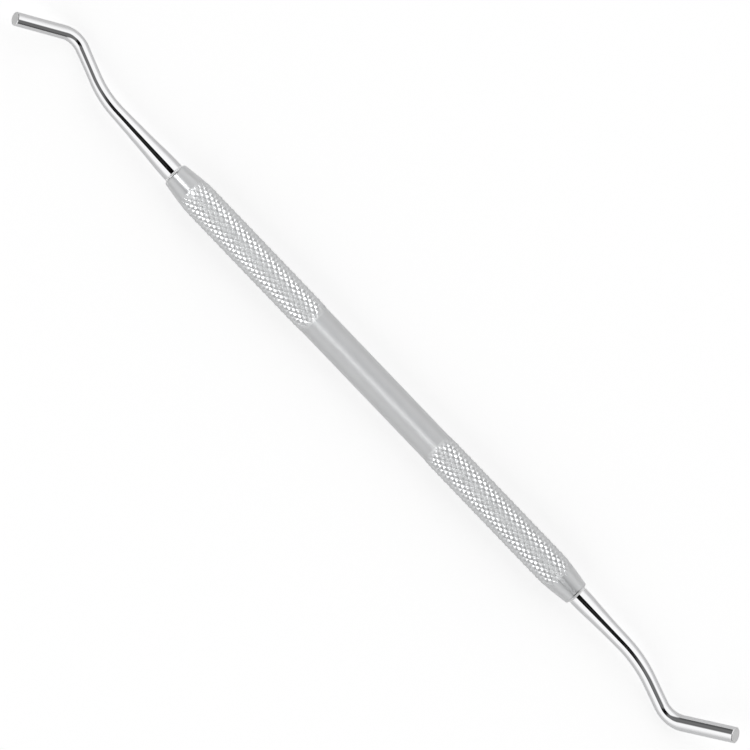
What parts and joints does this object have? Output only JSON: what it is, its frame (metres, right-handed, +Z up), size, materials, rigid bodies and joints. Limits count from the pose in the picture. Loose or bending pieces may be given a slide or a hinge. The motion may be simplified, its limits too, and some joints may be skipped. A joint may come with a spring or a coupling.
{
  "type": "dental plugger",
  "caption": "Double-ended dental plugger: knurled round steel handle with tapered ends, each carrying a slender bent shank that ends in a round, flat-faced working tip.",
  "frame": {"origin": "on the surface the instrument lies on, midway along its length and under the handle's axis", "axes": "+X along the handle towards the large end, +Z up, +Y to the side the small end's elbow bulges towards"},
  "size_m": [0.1708, 0.009, 0.0081],
  "materials": {
    "satin_steel": "satin, knurled bands",
    "polished_steel": "mirror polished, matte working faces"
  },
  "bodies": {
    "root": {"handle": "satin_steel", "small_end": "polished_steel", "large_end": "polished_steel"}
  },
  "joints": []
}
